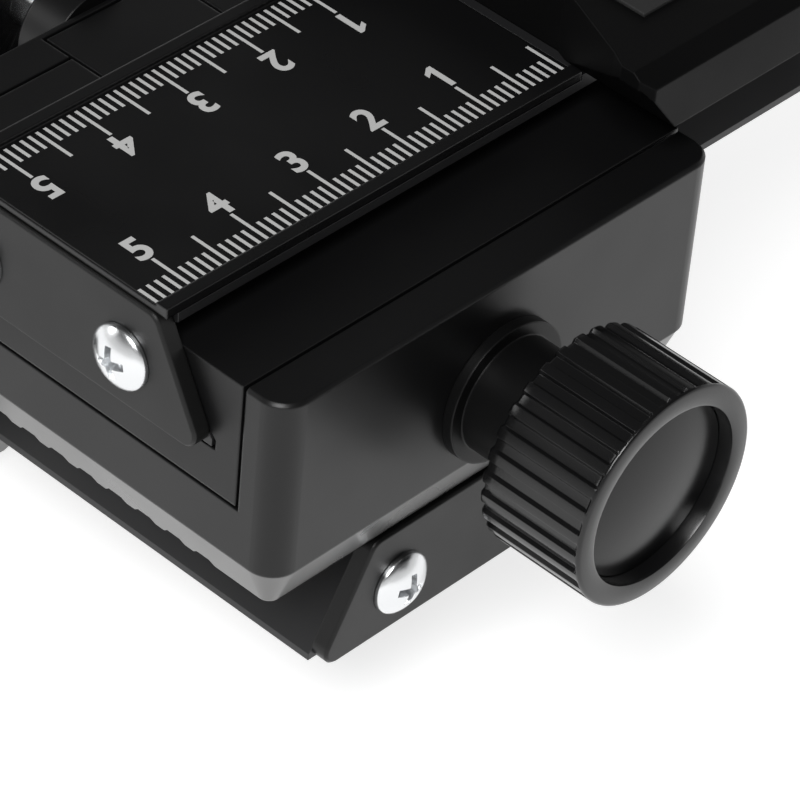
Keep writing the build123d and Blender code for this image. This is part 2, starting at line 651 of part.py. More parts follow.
def build():
    os.makedirs("parts", exist_ok=True)
    tray_joint = [(x, y, FIX_R + 0.05, JOINT_HOLE_TOP) for x, y in joint_holes()]
    pad_joint = [(x, y, FIX_R + 0.2) for x, y in joint_holes()]
    for name, shape in make_stage(tray_joint, pad_joint).items():
        save("upper_" + name, shape, upper_place())
    tray_socket = [(0, AXIS_Y, INSERT_R + 0.05, INSERT_TOP + 0.1)]
    pad_socket = [(0, AXIS_Y, INSERT_R + 0.05)]
    for name, shape in make_stage(tray_socket, pad_socket).items():
        save("lower_" + name, shape, lower_place())
    save("tripod_insert", make_tripod_insert(), lower_place())
    joint_length = STAGE_PITCH + JOINT_HOLE_TOP - FIX_SEAT_Z - 0.3
    platform_length = PLATFORM_HOLE_TOP - FIX_SEAT_Z - 0.2
    save("joint_screws", make_fix_screws(joint_length), lower_place())
    save("platform_screws", make_fix_screws(platform_length), upper_place())
    save("platform", make_platform(), upper_place())
    save("platform_pad", make_pad(), upper_place())
    save("camera_wheel", make_camera_wheel(), upper_place())
    save("camera_stud", make_camera_stud(), upper_place())


build()
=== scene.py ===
# %% [markdown]
# # A macro focusing rail, dressed for its picture
# A focusing rail carries a camera and moves it by tenths of a millimetre. This one is two crosswise
# slides of black moulded plastic, with a printed scale, fluted knobs and zinc screws. The solids come
# from a CAD program, so every size is already right. Blender adds what a photograph shows on top of
# the shape: how light slides over moulded plastic, ink, metal and rubber.

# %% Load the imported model
import json
from math import radians, sin, cos, pi
import bpy
from mathutils import Matrix, Vector


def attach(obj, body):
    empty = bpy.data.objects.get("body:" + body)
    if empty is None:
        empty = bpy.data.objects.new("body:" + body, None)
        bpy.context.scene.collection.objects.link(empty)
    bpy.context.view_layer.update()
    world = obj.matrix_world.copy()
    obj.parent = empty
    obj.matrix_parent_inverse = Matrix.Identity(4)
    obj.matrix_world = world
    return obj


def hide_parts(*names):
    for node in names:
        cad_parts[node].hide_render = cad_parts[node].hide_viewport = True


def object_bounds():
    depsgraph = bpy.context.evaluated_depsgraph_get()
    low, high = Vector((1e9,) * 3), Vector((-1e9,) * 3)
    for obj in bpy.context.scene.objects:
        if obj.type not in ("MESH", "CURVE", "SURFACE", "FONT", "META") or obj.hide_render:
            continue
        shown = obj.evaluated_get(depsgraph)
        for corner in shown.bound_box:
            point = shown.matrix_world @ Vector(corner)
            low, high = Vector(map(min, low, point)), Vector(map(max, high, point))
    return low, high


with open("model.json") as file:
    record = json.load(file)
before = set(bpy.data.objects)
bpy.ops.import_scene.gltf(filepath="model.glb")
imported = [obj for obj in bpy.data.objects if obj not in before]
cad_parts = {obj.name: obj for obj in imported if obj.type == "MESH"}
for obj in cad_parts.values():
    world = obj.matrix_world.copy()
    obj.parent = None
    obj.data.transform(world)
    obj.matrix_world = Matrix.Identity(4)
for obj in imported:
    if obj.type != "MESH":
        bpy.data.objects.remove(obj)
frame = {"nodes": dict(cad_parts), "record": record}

nodes = frame["nodes"]
cad_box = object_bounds()
MM = 0.001
print("nodes", len(nodes), "box in mm", [[round(v / MM, 1) for v in corner] for corner in cad_box])

# %% [markdown]
# ## Where things stand
# The CAD keeps one shared frame. Each of the two slides was drawn once, in its own frame: the rail
# along Y, the drive knob on +X, and height 0 on the printed face. Two matrices turn such a
# place into the shared frame, so a detail is written once and lands on both slides.

# %% Two slide frames
STAGE_PITCH = 29.1
STAGE_OFFSET_X = 34.3
UPPER_ORIGIN = Vector((57.9, 23.6, 2 * STAGE_PITCH))
LOWER_ORIGIN = Vector((UPPER_ORIGIN.x - STAGE_OFFSET_X, 0.0, STAGE_PITCH))
UPPER = Matrix.Translation(UPPER_ORIGIN * MM)
LOWER = Matrix.Translation(LOWER_ORIGIN * MM) @ Matrix.Rotation(-pi / 2, 4, "Z")
STAGES = {"upper": (UPPER, "upper_slide"), "lower": (LOWER, "lower_slide")}
print("upper origin", tuple(UPPER_ORIGIN))

# %% [markdown]
# ## Camera
# The picture was taken from above one corner with a long lens, so far edges hardly shrink. The
# camera's turn comes from the printed millimetre marks: once a lens and a place make every mark land
# where the picture has it, the view is right everywhere. The small roll is part of the picture.

# %% Camera
AZIMUTH, ELEVATION, ROLL = radians(40.3056), radians(39.7182), radians(5.4379)
EYE = Vector((312.578, -281.029, 338.376)) * MM
SENSOR = 36.0
FOCAL_PIXELS = 5000.0
IMAGE_PIXELS = 800.0

back = Vector((sin(AZIMUTH) * cos(ELEVATION), -cos(AZIMUTH) * cos(ELEVATION), sin(ELEVATION)))
right = Vector((cos(AZIMUTH), sin(AZIMUTH), 0.0))
up = back.cross(right)
rolled_right = right * cos(ROLL) + up * sin(ROLL)
rolled_up = up * cos(ROLL) - right * sin(ROLL)
camera_data = bpy.data.cameras.new("camera")
camera_data.sensor_width = SENSOR
camera_data.lens = SENSOR * FOCAL_PIXELS / IMAGE_PIXELS
camera_data.clip_start = 10 * MM
camera = bpy.data.objects.new("camera", camera_data)
turn = Matrix((rolled_right, rolled_up, back)).transposed()
camera.matrix_world = Matrix.Translation(EYE) @ turn.to_4x4()
scene = bpy.context.scene
scene.collection.objects.link(camera)
scene.camera = camera
scene.view_settings.view_transform = "Standard"
print("lens", camera_data.lens, "mm")

# %% [markdown]
# ## Floor and surroundings
# Black plastic shows little colour of its own. What is seen on it is the reflected room: white all
# round and underneath, as on a packshot table, and dim overhead. The floor is pale and gives back a
# little light to camera and reflections, so it stays white, while its matte share keeps the shadow.
# The world does the same with a soft step from white near the horizon to dim above.

# %% Helpers for node trees
def add(tree, kind, **values):
    node = tree.nodes.new(kind)
    for name, value in values.items():
        setattr(node, name, value)
    return node


def join(tree, source, target):
    tree.links.new(source, target)


def math_node(tree, operation, a, b=None, c=None, clamp=False):
    node = add(tree, "ShaderNodeMath", operation=operation, use_clamp=clamp)
    for i, value in enumerate((a, b, c)):
        if value is None:
            continue
        if isinstance(value, (int, float)):
            node.inputs[i].default_value = value
        else:
            join(tree, value, node.inputs[i])
    return node.outputs[0]


def seen_rays(tree):
    path = add(tree, "ShaderNodeLightPath")
    seen = math_node(tree, "MAXIMUM", path.outputs["Is Camera Ray"], path.outputs["Is Glossy Ray"])
    return math_node(tree, "MAXIMUM", seen, path.outputs["Is Transmission Ray"])


# %% Floor
FLOOR_SIZE = 4.0
FLOOR_COLOUR = 0.62
FLOOR_GLOW = 0.74
FLOOR_DROP = 0.3 * MM

floor_mesh = bpy.data.meshes.new("floor")
half = FLOOR_SIZE / 2
floor_corners = [(-half, -half, 0), (half, -half, 0), (half, half, 0), (-half, half, 0)]
floor_mesh.from_pydata(floor_corners, [], [(0, 1, 2, 3)])
floor = bpy.data.objects.new("floor", floor_mesh)
floor.location.z = -FLOOR_DROP
scene.collection.objects.link(floor)
floor_look = bpy.data.materials.new("pale_floor")
floor_look.use_nodes = True
tree = floor_look.node_tree
tree.nodes.clear()
matte = add(tree, "ShaderNodeBsdfDiffuse")
matte.inputs["Color"].default_value = (FLOOR_COLOUR, FLOOR_COLOUR, FLOOR_COLOUR, 1)
glow = add(tree, "ShaderNodeEmission")
glow_level = math_node(tree, "MULTIPLY", seen_rays(tree), FLOOR_GLOW)
join(tree, glow_level, glow.inputs["Strength"])
both = add(tree, "ShaderNodeAddShader")
join(tree, matte.outputs[0], both.inputs[0])
join(tree, glow.outputs[0], both.inputs[1])
join(tree, both.outputs[0], add(tree, "ShaderNodeOutputMaterial").inputs["Surface"])
floor_mesh.materials.append(floor_look)
print("floor", FLOOR_SIZE, "m")

# %% World
CEILING = 0.08
FILL = 0.30
WHITE_UP_TO, DIM_FROM = 0.16, 0.5

world = bpy.data.worlds.new("room")
scene.world = world
world.use_nodes = True
tree = world.node_tree
tree.nodes.clear()
direction = add(tree, "ShaderNodeTexCoord")
split = add(tree, "ShaderNodeSeparateXYZ")
join(tree, direction.outputs["Generated"], split.inputs[0])
step = add(tree, "ShaderNodeMapRange", interpolation_type="SMOOTHSTEP")
step.inputs["From Min"].default_value = WHITE_UP_TO
step.inputs["From Max"].default_value = DIM_FROM
step.inputs["To Min"].default_value = 1.0
step.inputs["To Max"].default_value = CEILING
join(tree, split.outputs["Z"], step.inputs["Value"])
seen = seen_rays(tree)
seen_part = math_node(tree, "MULTIPLY", seen, step.outputs["Result"])
unseen = math_node(tree, "SUBTRACT", 1.0, seen)
level = math_node(tree, "MULTIPLY_ADD", unseen, FILL, seen_part)
air = add(tree, "ShaderNodeBackground")
join(tree, level, air.inputs["Strength"])
join(tree, air.outputs[0], add(tree, "ShaderNodeOutputWorld").inputs["Surface"])
print("ceiling level", CEILING)

# %% [markdown]
# ## Lamps
# Two large soft lamps do what a photographer's softboxes do. They stand away from the direction in
# which the flat tops mirror the camera, so those tops stay deep black and only edges catch light.

# %% Lamps
def soft_lamp(name, direction, distance, size, watts):
    lamp = bpy.data.lights.new(name, "AREA")
    lamp.shape = "DISK"
    lamp.size = size
    lamp.energy = watts
    holder = bpy.data.objects.new(name, lamp)
    away = Vector(direction).normalized()
    centre = (cad_box[0] + cad_box[1]) / 2
    holder.location = centre + away * distance
    holder.rotation_euler = away.to_track_quat("Z", "Y").to_euler()
    scene.collection.objects.link(holder)


soft_lamp("key_light", (0.3, -0.55, 0.8), 1.2, 0.6, 12.0)
soft_lamp("side_light", (-0.75, -0.55, 0.4), 1.4, 0.6, 3.0)

# %% [markdown]
# ## Shared effects as node groups
# A node group is a small machine used by many materials. The first one is the skin of moulded
# plastic: a fine spark-eroded grain, and slow mottling in gloss. The second reads a rounded normal
# near sharp edges. Real mouldings have edge radii of a few tenths of a millimetre, and that thin
# rounding is what catches the light as a bright line. Making it in the normal costs no geometry.
# The same group also gives an edge mask, along which the plastics get a painted highlight: a
# lighter base colour.

# %% Moulded skin group
MOTTLE_SCALE = 90.0
MOTTLE_GAIN = 4.0


def new_group(name, inputs, outputs):
    group = bpy.data.node_groups.new(name, "ShaderNodeTree")
    for label, kind, value in inputs:
        socket = group.interface.new_socket(label, in_out="INPUT", socket_type=kind)
        if value is not None:
            socket.default_value = value
    for label, kind in outputs:
        group.interface.new_socket(label, in_out="OUTPUT", socket_type=kind)
    return group, add(group, "NodeGroupInput"), add(group, "NodeGroupOutput")


skin, given, result = new_group(
    "moulded_skin",
    [("Grain Scale", "NodeSocketFloat", 4000.0), ("Roughness", "NodeSocketFloat", 0.4),
     ("Spread", "NodeSocketFloat", 0.06)],
    [("Height", "NodeSocketFloat"), ("Roughness", "NodeSocketFloat")])
place = add(skin, "ShaderNodeTexCoord")
grain = add(skin, "ShaderNodeTexNoise")
grain.inputs["Detail"].default_value = 3.0
join(skin, place.outputs["Object"], grain.inputs["Vector"])
join(skin, given.outputs["Grain Scale"], grain.inputs["Scale"])
cloud = add(skin, "ShaderNodeTexNoise")
cloud.inputs["Scale"].default_value = MOTTLE_SCALE
cloud.inputs["Detail"].default_value = 2.0
join(skin, place.outputs["Object"], cloud.inputs["Vector"])
offset = math_node(skin, "SUBTRACT", cloud.outputs["Fac"], 0.5)
spread = math_node(skin, "MULTIPLY", offset, given.outputs["Spread"])
mottle = math_node(skin, "MULTIPLY", spread, MOTTLE_GAIN)
gloss = math_node(skin, "ADD", given.outputs["Roughness"], mottle, clamp=True)
join(skin, gloss, result.inputs["Roughness"])
join(skin, grain.outputs["Fac"], result.inputs["Height"])
print("group", skin.name)

# %% Rounded edge group
EDGE_GAIN = 3.0

edges, given, result = new_group(
    "rounded_edge",
    [("Radius", "NodeSocketFloat", 0.0003)],
    [("Normal", "NodeSocketVector"), ("Edge", "NodeSocketFloat")])
rounding = add(edges, "ShaderNodeBevel", samples=8)
join(edges, given.outputs["Radius"], rounding.inputs["Radius"])
flat = add(edges, "ShaderNodeNewGeometry")
facing = add(edges, "ShaderNodeVectorMath", operation="DOT_PRODUCT")
join(edges, rounding.outputs["Normal"], facing.inputs[0])
join(edges, flat.outputs["Normal"], facing.inputs[1])
# The Edge output is the mask for a painted highlight: the plastics mix their base colour lighter
# along it.
turned = math_node(edges, "SUBTRACT", 1.0, facing.outputs["Value"])
join(edges, math_node(edges, "MULTIPLY", turned, EDGE_GAIN, clamp=True), result.inputs["Edge"])
join(edges, rounding.outputs["Normal"], result.inputs["Normal"])
print("group", edges.name)

# %% [markdown]
# ## Plastics
# One function makes every plastic. The colour, the gloss and the grain differ from part to part, as
# they do when parts come from different moulds. Edges carry a painted highlight: their base colour is
# mixed a shade lighter along the edge mask. The black is nearly all reflection, so each part's
# refractive index sets how much of the white room it gives back: little on the platform, more on the
# knobs and most on the ribbed sole.

# %% Plastic materials
RELIEF_DEPTH = 0.1 * MM
# Painted highlight: edges get a lighter base colour, standing in for the light their rounding
# catches.
PAINTED_HIGHLIGHT_LIFT = 0.002


def use_group(tree, group, **values):
    node = add(tree, "ShaderNodeGroup", node_tree=group)
    for name, value in values.items():
        node.inputs[name.replace("_", " ")].default_value = value
    return node


def plastic(name, colour, roughness, spread=0.05, grain=4000.0, bump=0.05, edge=0.0003, painted_highlight_gain=1.6,
            ior=1.5):
    look = bpy.data.materials.new(name)
    look.use_nodes = True
    tree = look.node_tree
    shader = tree.nodes["Principled BSDF"]
    shader.inputs["IOR"].default_value = ior
    texture = use_group(tree, skin, Grain_Scale=grain, Roughness=roughness, Spread=spread)
    rim = use_group(tree, edges, Radius=edge)
    # Painted highlight: along the Edge mask the base colour is mixed towards this lighter copy.
    painted_highlight_colour = [min(1.0, c * painted_highlight_gain + PAINTED_HIGHLIGHT_LIFT) for c in colour]
    painted_highlight_mix = add(tree, "ShaderNodeMix", data_type="RGBA")
    painted_highlight_mix.inputs[6].default_value = (*colour, 1)
    painted_highlight_mix.inputs[7].default_value = (*painted_highlight_colour, 1)
    join(tree, rim.outputs["Edge"], painted_highlight_mix.inputs[0])
    join(tree, painted_highlight_mix.outputs[2], shader.inputs["Base Color"])
    relief = add(tree, "ShaderNodeBump")
    relief.inputs["Strength"].default_value = bump
    relief.inputs["Distance"].default_value = RELIEF_DEPTH
    join(tree, texture.outputs["Height"], relief.inputs["Height"])
    join(tree, rim.outputs["Normal"], relief.inputs["Normal"])
    join(tree, relief.outputs["Normal"], shader.inputs["Normal"])
    join(tree, texture.outputs["Roughness"], shader.inputs["Roughness"])
    return look


looks = {
    "housing_plastic": plastic("housing_plastic", (0.0045, 0.0045, 0.0047), 0.34, ior=1.37),
    "liner_plastic": plastic("liner_plastic", (0.0040, 0.0040, 0.0042), 0.38, ior=1.35),
    "cap_plastic": plastic("cap_plastic", (0.0050, 0.0050, 0.0050), 0.40, spread=0.07, ior=1.37),
    "pad_plastic": plastic("pad_plastic", (0.024, 0.023, 0.022), 0.30, edge=0.0004, ior=2.0),
    "plate_plastic": plastic("plate_plastic", (0.0038, 0.0038, 0.0040), 0.30, grain=6000.0,
                             bump=0.03, ior=1.43),
    "knob_plastic": plastic("knob_plastic", (0.0045, 0.0045, 0.0047), 0.22, edge=0.0001, ior=1.46),
    "platform_plastic": plastic("platform_plastic", (0.0030, 0.0030, 0.0031), 0.46, ior=1.15),
    "bush_plastic": plastic("bush_plastic", (0.0035, 0.0035, 0.0036), 0.38, ior=1.25),
}
print("plastics", sorted(looks))

# %% [markdown]
# ## Metals and rubber
# Metals take their colour from the reflection, so Metallic is 1 and the base colour is the metal's
# own tint. The rail bar is black anodised: its skin is a dark oxide, so it is only partly metallic.

# %% Metal and rubber materials
def metal(name, colour, roughness, metallic=1.0, grain=3000.0, bump=0.04, edge=0.0001):
    look = plastic(name, colour, roughness, grain=grain, bump=bump, edge=edge, painted_highlight_gain=1.15)
    look.node_tree.nodes["Principled BSDF"].inputs["Metallic"].default_value = metallic
    return look


looks["rail_metal"] = metal("rail_metal", (0.018, 0.018, 0.019), 0.42, metallic=0.3)
looks["gear_metal"] = metal("gear_metal", (0.62, 0.58, 0.50), 0.34)
looks["shaft_steel"] = metal("shaft_steel", (0.56, 0.57, 0.58), 0.26)
looks["screw_zinc"] = metal("screw_zinc", (0.72, 0.73, 0.74), 0.24)
looks["rubber"] = plastic("rubber", (0.012, 0.012, 0.012), 0.72, grain=1800.0, bump=0.25, painted_highlight_gain=1.2)

# %% Dress the solids
slot_of = {row["node"]: row["material_slot"] for row in frame["record"]["subparts"]}
OWN_LOOK = {"platform": "platform_plastic", "upper_shaft_bush": "bush_plastic",
            "lower_shaft_bush": "bush_plastic"}
for name, solid in nodes.items():
    if not solid.material_slots:
        solid.data.materials.append(None)
    for place in solid.material_slots:
        place.material = looks[OWN_LOOK.get(name, slot_of[name])]
print("dressed", len(slot_of))

# %% [markdown]
# ## Printed scale
# The scale is ink on the rail's cover: a mark every millimetre along both edges, a longer one every
# five, and numbers at the centimetres. Marks repeat by a rule, so a Geometry Nodes tree lays them:
# a line of points, one thin bar on each, and the point's index decides which bars are long. The
# tree's result is kept as a plain mesh, one for each slide, so it exports like any other piece.

# %% Helpers for geometry trees
def shape_tree(name, inputs):
    tree = bpy.data.node_groups.new(name, "GeometryNodeTree")
    tree.interface.new_socket("Geometry", in_out="OUTPUT", socket_type="NodeSocketGeometry")
    for label, kind, value in inputs:
        socket = tree.interface.new_socket(label, in_out="INPUT", socket_type=kind)
        if value is not None:
            socket.default_value = value
    return tree, add(tree, "NodeGroupInput"), add(tree, "NodeGroupOutput")


def finish_tree(tree, geometry, material, result):
    whole = add(tree, "GeometryNodeRealizeInstances")
    join(tree, geometry, whole.inputs["Geometry"])
    coat = add(tree, "GeometryNodeSetMaterial")
    join(tree, whole.outputs["Geometry"], coat.inputs["Geometry"])
    join(tree, material, coat.inputs["Material"])
    join(tree, coat.outputs["Geometry"], result.inputs["Geometry"])


def evaluated_mesh(piece):
    return bpy.data.meshes.new_from_object(
        piece.evaluated_get(bpy.context.evaluated_depsgraph_get()))


def soften(mesh, degrees):
    for face in mesh.polygons:
        face.use_smooth = True
    mesh.set_sharp_from_angle(angle=radians(degrees))


def place_piece(name, mesh, place, body):
    mesh.transform(place)
    mesh.name = name
    piece = bpy.data.objects.new(name, mesh)
    scene.collection.objects.link(piece)
    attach(piece, body)
    return piece


def grow(tree, values):
    seed = bpy.data.objects.new("seed", bpy.data.meshes.new("seed"))
    scene.collection.objects.link(seed)
    modifier = seed.modifiers.new("grow", "NODES")
    modifier.node_group = tree
    for item in tree.interface.items_tree:
        if item.in_out == "INPUT" and item.name in values:
            modifier[item.identifier] = values[item.name]
    mesh = evaluated_mesh(seed)
    bpy.data.objects.remove(seed)
    return mesh


# %% Scale marks
EDGE_X = 12.73
INK_LIFT = 0.012
looks["white_ink"] = plastic("white_ink", (0.46, 0.46, 0.455), 0.55, grain=9000.0, bump=0.08,
                             edge=0.00001, painted_highlight_gain=1.0)

marks, given, result = shape_tree("scale_marks", [
    ("Count", "NodeSocketInt", 55), ("Spacing", "NodeSocketFloat", MM),
    ("Edge", "NodeSocketFloat", EDGE_X * MM),
    ("Short", "NodeSocketFloat", 2.4 * MM), ("Long", "NodeSocketFloat", 4.8 * MM),
    ("Stroke", "NodeSocketFloat", 0.38 * MM), ("Thickness", "NodeSocketFloat", INK_LIFT * MM),
    ("Ink", "NodeSocketMaterial", None)])
number = add(marks, "GeometryNodeInputIndex").outputs["Index"]
is_long = math_node(marks, "LESS_THAN", math_node(marks, "MODULO", number, 5.0), 0.5)
extra = math_node(marks, "SUBTRACT", given.outputs["Long"], given.outputs["Short"])
length = math_node(marks, "MULTIPLY_ADD", is_long, extra, given.outputs["Short"])
stretch = add(marks, "ShaderNodeCombineXYZ")
join(marks, math_node(marks, "DIVIDE", length, MM), stretch.inputs["X"])
stretch.inputs["Y"].default_value = stretch.inputs["Z"].default_value = 1.0
down = add(marks, "ShaderNodeCombineXYZ")
join(marks, math_node(marks, "MULTIPLY", given.outputs["Spacing"], -1.0), down.inputs["Y"])
bar_size = add(marks, "ShaderNodeCombineXYZ")
bar_size.inputs["X"].default_value = MM
join(marks, given.outputs["Stroke"], bar_size.inputs["Y"])
join(marks, given.outputs["Thickness"], bar_size.inputs["Z"])
bar = add(marks, "GeometryNodeMeshCube")
join(marks, bar_size.outputs[0], bar.inputs["Size"])
both_edges = add(marks, "GeometryNodeJoinGeometry")
for side in (1.0, -1.0):
    start = add(marks, "ShaderNodeCombineXYZ")
    join(marks, math_node(marks, "MULTIPLY", given.outputs["Edge"], side), start.inputs["X"])
    row = add(marks, "GeometryNodeMeshLine")
    join(marks, given.outputs["Count"], row.inputs["Count"])
    join(marks, start.outputs[0], row.inputs["Start Location"])
    join(marks, down.outputs[0], row.inputs["Offset"])
    shifted = add(marks, "GeometryNodeTransform")
    join(marks, bar.outputs["Mesh"], shifted.inputs["Geometry"])
    shifted.inputs["Translation"].default_value = (-side * MM / 2, 0, 0)
    laid = add(marks, "GeometryNodeInstanceOnPoints")
    join(marks, row.outputs["Mesh"], laid.inputs["Points"])
    join(marks, shifted.outputs["Geometry"], laid.inputs["Instance"])
    join(marks, stretch.outputs[0], laid.inputs["Scale"])
    join(marks, laid.outputs["Instances"], both_edges.inputs["Geometry"])
finish_tree(marks, both_edges.outputs["Geometry"], given.outputs["Ink"], result)

for stage, (place, body) in STAGES.items():
    mesh = grow(marks, {"Ink": looks["white_ink"]})
    lifted = place @ Matrix.Translation((0, 0, INK_LIFT * MM))
    place_piece(stage + "_scale_marks", mesh, lifted, body)
    print(stage, "marks", len(mesh.polygons))

# %% [markdown]
# ## Numbers
# The numbers 1 to 5 stand at the centimetre marks and read from either side. Text objects give clean
# outlines, and a small outward offset makes the plain face as bold as the printed one. Each becomes
# a mesh first and is placed after that. The plain face draws a 1 as a bare bar, so this number gets
# its own outline with a slanted flag.

# %% Scale numbers
DIGIT_SIZE = 4.55
DIGIT_BOLD = 0.13
BASELINE_X = 7.55

ONE = [(-0.03, 0), (0.16, 0), (0.16, 1), (0.02, 1), (-0.24, 0.8), (-0.24, 0.62), (-0.03, 0.76)]
ONE_HEIGHT = 3.55
CENTIMETRE = 10.0


def number_mesh(value):
    if value == 1:
        mesh = bpy.data.meshes.new("number")
        points = [(x * ONE_HEIGHT * MM, y * ONE_HEIGHT * MM, INK_LIFT * MM / 2) for x, y in ONE]
        mesh.from_pydata(points, [], [tuple(range(len(ONE)))])
        return mesh
    curve = bpy.data.curves.new("number", "FONT")
    curve.body = str(value)
    curve.size = DIGIT_SIZE * MM
    curve.offset = DIGIT_BOLD * MM
    curve.align_x = "CENTER"
    curve.resolution_u = 6
    curve.extrude = INK_LIFT * MM / 2
    holder = bpy.data.objects.new("number", curve)
    scene.collection.objects.link(holder)
    mesh = evaluated_mesh(holder)
    bpy.data.objects.remove(holder)
    return mesh


def merge(meshes, name):
    points, faces = [], []
    for mesh in meshes:
        base = len(points)
        points += [v.co.copy() for v in mesh.vertices]
        faces += [[base + i for i in face.vertices] for face in mesh.polygons]
    whole = bpy.data.meshes.new(name)
    whole.from_pydata(points, [], faces)
    return whole


for stage, (place, body) in STAGES.items():
    digits = []
    for value in range(1, 6):
        for side, quarter in ((1, pi / 2), (-1, -pi / 2)):
            mesh = number_mesh(value)
            spot = Vector((side * BASELINE_X, -CENTIMETRE * value, INK_LIFT)) * MM
            mesh.transform(Matrix.Translation(spot) @ Matrix.Rotation(quarter, 4, "Z"))
            digits.append(mesh)
    whole = merge(digits, stage + "_scale_numbers")
    whole.materials.append(looks["white_ink"])
    place_piece(stage + "_scale_numbers", whole, place, body)
    print(stage, "number faces", len(whole.polygons))

# %% [markdown]
# ## Cross-head screws
# The bright pan-head screws are the only shiny things in the picture, so they get a turned head and
# a tapered cross recess. The head is a profile spun round an axis, as on a lathe, and the recess is
# cut with a boolean. A small tree then sets a pair of them, each turned a little differently, because
# no two screws stop at the same angle.

# %% One screw
import bmesh

HEAD_R, HEAD_H, RIM_H, SHANK_R, SHANK_LENGTH = 3.4, 1.9, 0.5, 1.5, 5.4
ARM_REACH, ARM_HALF, RECESS_DEPTH, RECESS_TAPER = 2.15, 0.5, 1.35, 0.5
CUT_ABOVE = 0.4
WELD = 0.01


def lathe(profile, steps):
    shape = bmesh.new()
    ring = [shape.verts.new((r * MM, 0, z * MM)) for r, z in profile]
    line = [shape.edges.new(pair) for pair in zip(ring, ring[1:])]
    bmesh.ops.spin(shape, geom=ring + line, cent=(0, 0, 0), axis=(0, 0, 1),
                   angle=2 * pi, steps=steps)
    bmesh.ops.remove_doubles(shape, verts=shape.verts, dist=WELD * MM)
    bmesh.ops.recalc_face_normals(shape, faces=shape.faces)
    return shape


def as_object(name, shape):
    mesh = bpy.data.meshes.new(name)
    shape.to_mesh(mesh)
    shape.free()
    piece = bpy.data.objects.new(name, mesh)
    scene.collection.objects.link(piece)
    return piece


def fix_normals(mesh):
    shape = bmesh.new()
    shape.from_mesh(mesh)
    bmesh.ops.recalc_face_normals(shape, faces=shape.faces)
    shape.to_mesh(mesh)
    shape.free()


rise = HEAD_H - RIM_H
ball = (HEAD_R ** 2 + rise ** 2) / (2 * rise)
profile = [(0.0, HEAD_H)]
for i in range(1, 13):
    r = (HEAD_R - 0.12) * i / 12
    profile.append((r, HEAD_H - ball + (ball ** 2 - r ** 2) ** 0.5))
profile += [(HEAD_R - 0.02, RIM_H - 0.06), (HEAD_R, RIM_H - 0.2), (HEAD_R, 0.02)]
profile += [(SHANK_R, 0.0), (SHANK_R, -SHANK_LENGTH), (0.0, -SHANK_LENGTH)]
head = as_object("screw_head", lathe(profile, 64))

plus = [(ARM_HALF, ARM_REACH), (ARM_HALF, ARM_HALF), (ARM_REACH, ARM_HALF)]
plus += [(ARM_REACH, -ARM_HALF), (ARM_HALF, -ARM_HALF), (ARM_HALF, -ARM_REACH)]
plus += [(-x, -y) for x, y in plus]
top, bottom = HEAD_H + CUT_ABOVE, HEAD_H - RECESS_DEPTH
corners = [(x * MM, y * MM, top * MM) for x, y in plus]
corners += [(x * RECESS_TAPER * MM, y * RECESS_TAPER * MM, bottom * MM) for x, y in plus]
count = len(plus)
walls = [(i, (i + 1) % count, count + (i + 1) % count, count + i) for i in range(count)]
ends = [tuple(range(count))[::-1], tuple(range(count, 2 * count))]
cutter_mesh = bpy.data.meshes.new("recess")
cutter_mesh.from_pydata(corners, [], ends + walls)
fix_normals(cutter_mesh)
cutter = bpy.data.objects.new("recess", cutter_mesh)
scene.collection.objects.link(cutter)
cut = head.modifiers.new("recess", "BOOLEAN")
cut.object = cutter
cut.solver = "EXACT"
screw_mesh = evaluated_mesh(head)
for helper in (head, cutter):
    bpy.data.objects.remove(helper)
print("screw faces", len(screw_mesh.polygons))

# %% Pairs of screws
pair, given, result = shape_tree("screw_pair", [
    ("Screw", "NodeSocketObject", None), ("Spread", "NodeSocketFloat", 9.7 * MM),
    ("Lean", "NodeSocketFloat", pi / 2), ("First Turn", "NodeSocketFloat", 0.35),
    ("Next Turn", "NodeSocketFloat", -0.56), ("Zinc", "NodeSocketMaterial", None)])
start = add(pair, "ShaderNodeCombineXYZ")
join(pair, math_node(pair, "MULTIPLY", given.outputs["Spread"], -1.0), start.inputs["X"])
gap = add(pair, "ShaderNodeCombineXYZ")
join(pair, math_node(pair, "MULTIPLY", given.outputs["Spread"], 2.0), gap.inputs["X"])
row = add(pair, "GeometryNodeMeshLine")
row.inputs["Count"].default_value = 2
join(pair, start.outputs[0], row.inputs["Start Location"])
join(pair, gap.outputs[0], row.inputs["Offset"])
number = add(pair, "GeometryNodeInputIndex").outputs["Index"]
spin = add(pair, "ShaderNodeCombineXYZ")
join(pair, given.outputs["Lean"], spin.inputs["X"])
twist = math_node(pair, "MULTIPLY_ADD", number, given.outputs["Next Turn"],
                  given.outputs["First Turn"])
join(pair, twist, spin.inputs["Y"])
source = add(pair, "GeometryNodeObjectInfo")
join(pair, given.outputs["Screw"], source.inputs["Object"])
laid = add(pair, "GeometryNodeInstanceOnPoints")
join(pair, row.outputs["Mesh"], laid.inputs["Points"])
join(pair, source.outputs["Geometry"], laid.inputs["Instance"])
join(pair, spin.outputs[0], laid.inputs["Rotation"])
finish_tree(pair, laid.outputs["Instances"], given.outputs["Zinc"], result)

